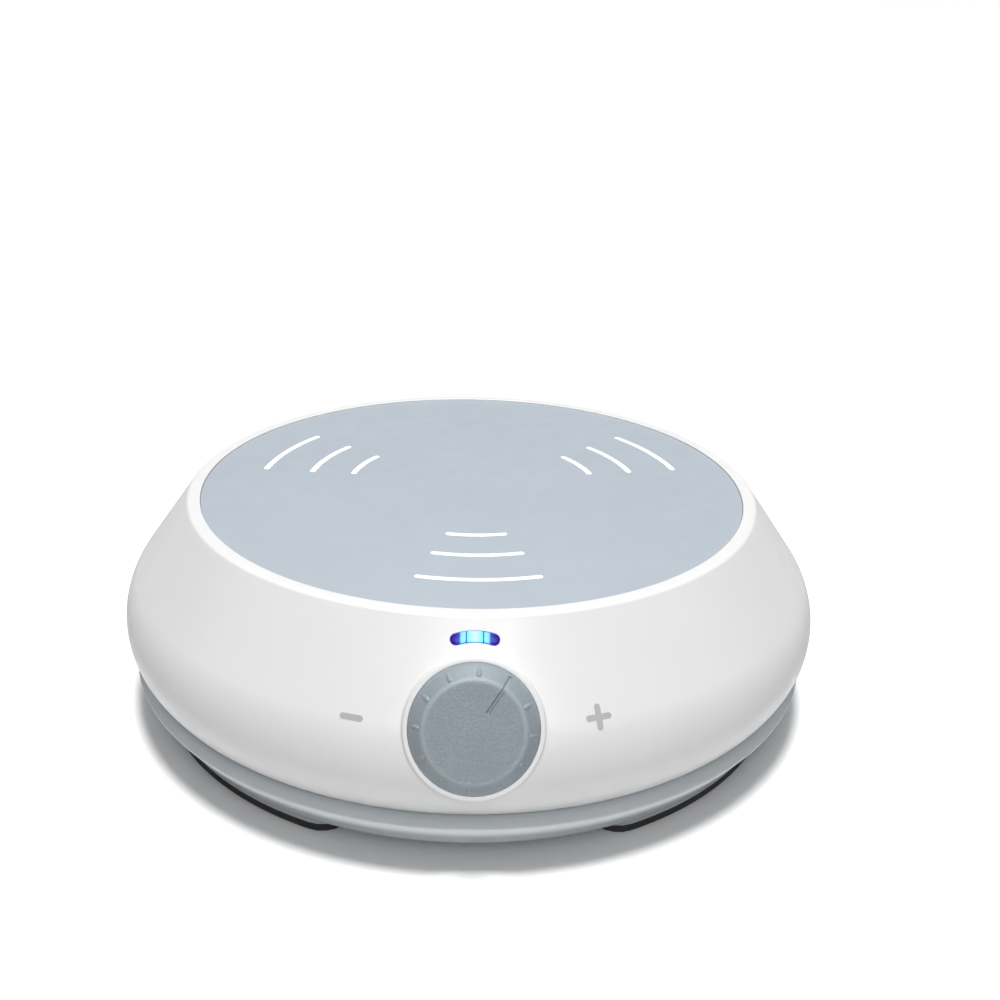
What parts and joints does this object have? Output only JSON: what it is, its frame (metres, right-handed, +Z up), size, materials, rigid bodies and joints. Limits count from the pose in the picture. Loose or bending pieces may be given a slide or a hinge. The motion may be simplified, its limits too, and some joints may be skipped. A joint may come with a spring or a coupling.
{
  "type": "magnetic stirrer",
  "caption": "Compact round magnetic stirrer with a flat stir plate, a front speed knob, a lit window, a grey base tray and crescent feet.",
  "frame": {"origin": "centre of the stir plate's top face, on the spin axis of the magnets; the bench is 47.7 mm below it", "axes": "+Z up along the spin axis, -Y towards the front (the knob), +X to the right seen from the front"},
  "size_m": [0.16, 0.1656, 0.048],
  "materials": {
    "shell_white": "satin white moulded plastic",
    "tray_grey": "matt grey moulded plastic",
    "plate_coat": "satin blue-grey chemical-proof plate",
    "print_white": "white printing ink",
    "print_grey": "light grey printing ink",
    "knob_grey": "soft-touch blue-grey plastic, fine texture",
    "foot_rubber": "black rubber",
    "light_pipe": "clear light pipe, lit blue",
    "steel": "zinc plated steel",
    "dark_steel": "blackened steel",
    "copper": "enamelled copper wire",
    "nickel": "nickel plate",
    "black_plastic": "black moulded plastic",
    "board_green": "circuit board",
    "aluminium": "turned aluminium",
    "adhesive": "foam adhesive tape",
    "lamp": "lamp lens"
  },
  "bodies": {
    "housing": {"base_screw_1": "steel", "base_screw_2": "steel", "base_screw_3": "steel", "base_screw_4": "steel", "base_tray": "tray_grey", "board_screw_1": "steel", "board_screw_2": "steel", "board_screw_3": "steel", "board_screw_4": "steel", "bracket_grommet_1": "foot_rubber", "bracket_grommet_2": "foot_rubber", "bracket_grommet_3": "foot_rubber", "bracket_screw_1": "steel", "bracket_screw_2": "steel", "bracket_screw_3": "steel", "capacitor": "dark_steel", "control_board": "board_green", "dc_jack": "black_plastic", "dc_jack_pin": "nickel", "driver_chip": "black_plastic", "foot_pad_1": "foot_rubber", "foot_pad_2": "foot_rubber", "foot_pad_3": "foot_rubber", "foot_pad_4": "foot_rubber", "led_1": "lamp", "led_2": "lamp", "led_3": "lamp", "led_board": "board_green", "led_cable": "black_plastic", "led_window": "light_pipe", "lower_bearing": "nickel", "motor_bracket": "steel", "motor_cable": "black_plastic", "motor_can": "dark_steel", "motor_connector": "black_plastic", "motor_end_cap": "black_plastic", "panel_connector": "black_plastic", "plate_adhesive": "adhesive", "pot_body": "steel", "pot_cable": "black_plastic", "pot_nut": "nickel", "pot_washer": "steel", "stator_core": "steel", "stator_winding": "copper", "stir_plate": "plate_coat", "upper_bearing": "nickel", "upper_shell": "shell_white"},
    "rotor": {"carrier_screw": "dark_steel", "drive_magnet_1": "nickel", "drive_magnet_2": "nickel", "magnet_carrier": "aluminium", "motor_shaft": "steel", "rotor_magnet": "dark_steel"},
    "speed_knob": {"knob": "knob_grey", "pot_shaft": "aluminium"}
  },
  "joints": [
    {"name": "rotor_spin", "type": "hinge", "parent": "housing", "child": "rotor", "pos_m": [0, 0, -0.0137], "axis": [0, 0, 1], "continuous": true},
    {"name": "knob_turn", "type": "hinge", "parent": "housing", "child": "speed_knob", "pos_m": [0, -0.0768, -0.0163], "axis": [0, 0.8988, -0.4384], "range_deg": [-184, 116]}
  ]
}
